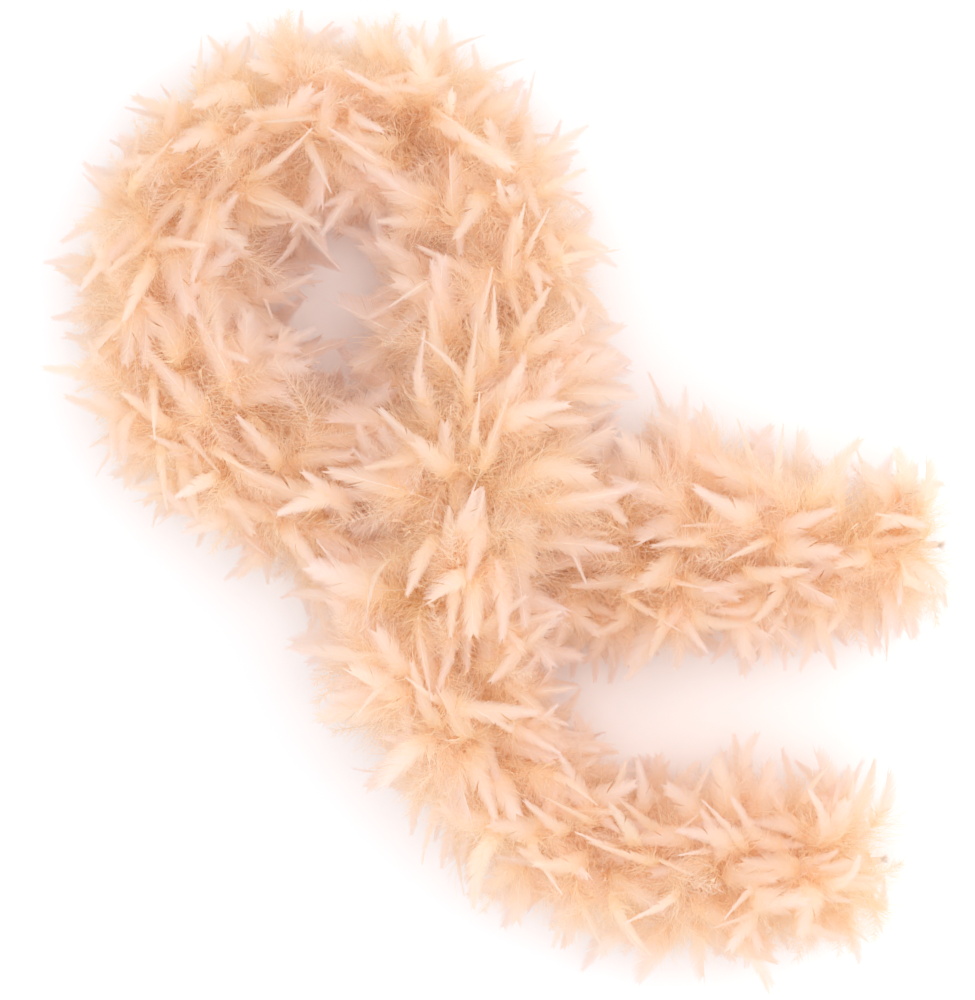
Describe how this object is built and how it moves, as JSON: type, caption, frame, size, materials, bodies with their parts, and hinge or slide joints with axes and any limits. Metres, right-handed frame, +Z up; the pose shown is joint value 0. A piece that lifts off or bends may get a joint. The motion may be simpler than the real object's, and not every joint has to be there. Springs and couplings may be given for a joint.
{
  "type": "feather boa",
  "caption": "Feather boa laid in a loop with two free tails; feather tufts on a two-ply cord, knotted and whipped at both ends.",
  "frame": {"origin": "centre of the lying boa's outline, on the surface that it lies on", "axes": "+Z up; +X towards the two free ends; +Y towards the loop"},
  "size_m": [0.7069, 0.7692, 0.1949],
  "materials": {
    "feather": "dyed feather, soft and translucent at the edges",
    "cord": "dyed cotton cord",
    "knot": "dyed cotton cord, knotted",
    "whipping": "wound cotton thread"
  },
  "bodies": {
    "loop": {"feather_tuft_05": "feather", "feather_tuft_06": "feather", "feather_tuft_07": "feather", "feather_tuft_08": "feather", "feather_tuft_09": "feather", "feather_tuft_10": "feather", "feather_tuft_11": "feather", "feather_tuft_12": "feather", "feather_tuft_13": "feather", "feather_tuft_14": "feather", "feather_tuft_15": "feather", "feather_tuft_16": "feather", "feather_tuft_17": "feather", "feather_tuft_18": "feather", "feather_tuft_19": "feather", "feather_tuft_20": "feather", "feather_tuft_21": "feather", "feather_tuft_22": "feather", "feather_tuft_23": "feather", "feather_tuft_24": "feather", "feather_tuft_25": "feather", "feather_tuft_26": "feather", "feather_tuft_27": "feather", "feather_tuft_28": "feather", "feather_tuft_29": "feather", "feather_tuft_30": "feather", "cord_ply_a_loop": "cord", "cord_ply_b_loop": "cord"},
    "right_tail_end": {"feather_tuft_01": "feather", "feather_tuft_02": "feather", "cord_ply_a_right_tail_end": "cord", "cord_ply_b_right_tail_end": "cord", "end_knot_right": "knot", "whipped_end_right": "whipping"},
    "right_tail_mid": {"feather_tuft_03": "feather", "cord_ply_a_right_tail_mid": "cord", "cord_ply_b_right_tail_mid": "cord"},
    "right_tail_root": {"feather_tuft_04": "feather", "cord_ply_a_right_tail_root": "cord", "cord_ply_b_right_tail_root": "cord"},
    "lower_tail_root": {"feather_tuft_31": "feather", "cord_ply_a_lower_tail_root": "cord", "cord_ply_b_lower_tail_root": "cord"},
    "lower_tail_mid": {"feather_tuft_32": "feather", "feather_tuft_33": "feather", "cord_ply_a_lower_tail_mid": "cord", "cord_ply_b_lower_tail_mid": "cord"},
    "lower_tail_low": {"feather_tuft_34": "feather", "cord_ply_a_lower_tail_low": "cord", "cord_ply_b_lower_tail_low": "cord"},
    "lower_tail_end": {"feather_tuft_35": "feather", "feather_tuft_36": "feather", "cord_ply_a_lower_tail_end": "cord", "cord_ply_b_lower_tail_end": "cord", "end_knot_lower": "knot", "whipped_end_lower": "whipping"}
  },
  "joints": [
    {"name": "right_tail_sway", "type": "hinge", "parent": "loop", "child": "right_tail_root", "pos_m": [0.12399, -0.06234, 0.05369], "axis": [0, 0, 1], "range_deg": [-5, 20]},
    {"name": "right_tail_lift", "type": "hinge", "parent": "right_tail_root", "child": "right_tail_mid", "pos_m": [0.17493, -0.05677, 0.05577], "axis": [0.1227, -0.9924, 0], "range_deg": [0, 20]},
    {"name": "right_tail_tip_sway", "type": "hinge", "parent": "right_tail_mid", "child": "right_tail_end", "pos_m": [0.22587, -0.05065, 0.05598], "axis": [0, 0, 1], "range_deg": [-5, 20]},
    {"name": "lower_tail_sway", "type": "hinge", "parent": "loop", "child": "lower_tail_root", "pos_m": [0.00808, -0.20452, 0.0684], "axis": [0, 0, -1], "range_deg": [-5, 20]},
    {"name": "lower_tail_lift", "type": "hinge", "parent": "lower_tail_root", "child": "lower_tail_mid", "pos_m": [0.04109, -0.24229, 0.05865], "axis": [-0.6703, -0.7421, 0], "range_deg": [0, 20]},
    {"name": "lower_tail_tip_sway", "type": "hinge", "parent": "lower_tail_mid", "child": "lower_tail_low", "pos_m": [0.13106, -0.28889, 0.0551], "axis": [0, 0, -1], "range_deg": [-5, 20]},
    {"name": "lower_tail_tip_lift", "type": "hinge", "parent": "lower_tail_low", "child": "lower_tail_end", "pos_m": [0.18182, -0.29591, 0.056], "axis": [-0.0708, -0.9975, 0], "range_deg": [0, 20]}
  ]
}
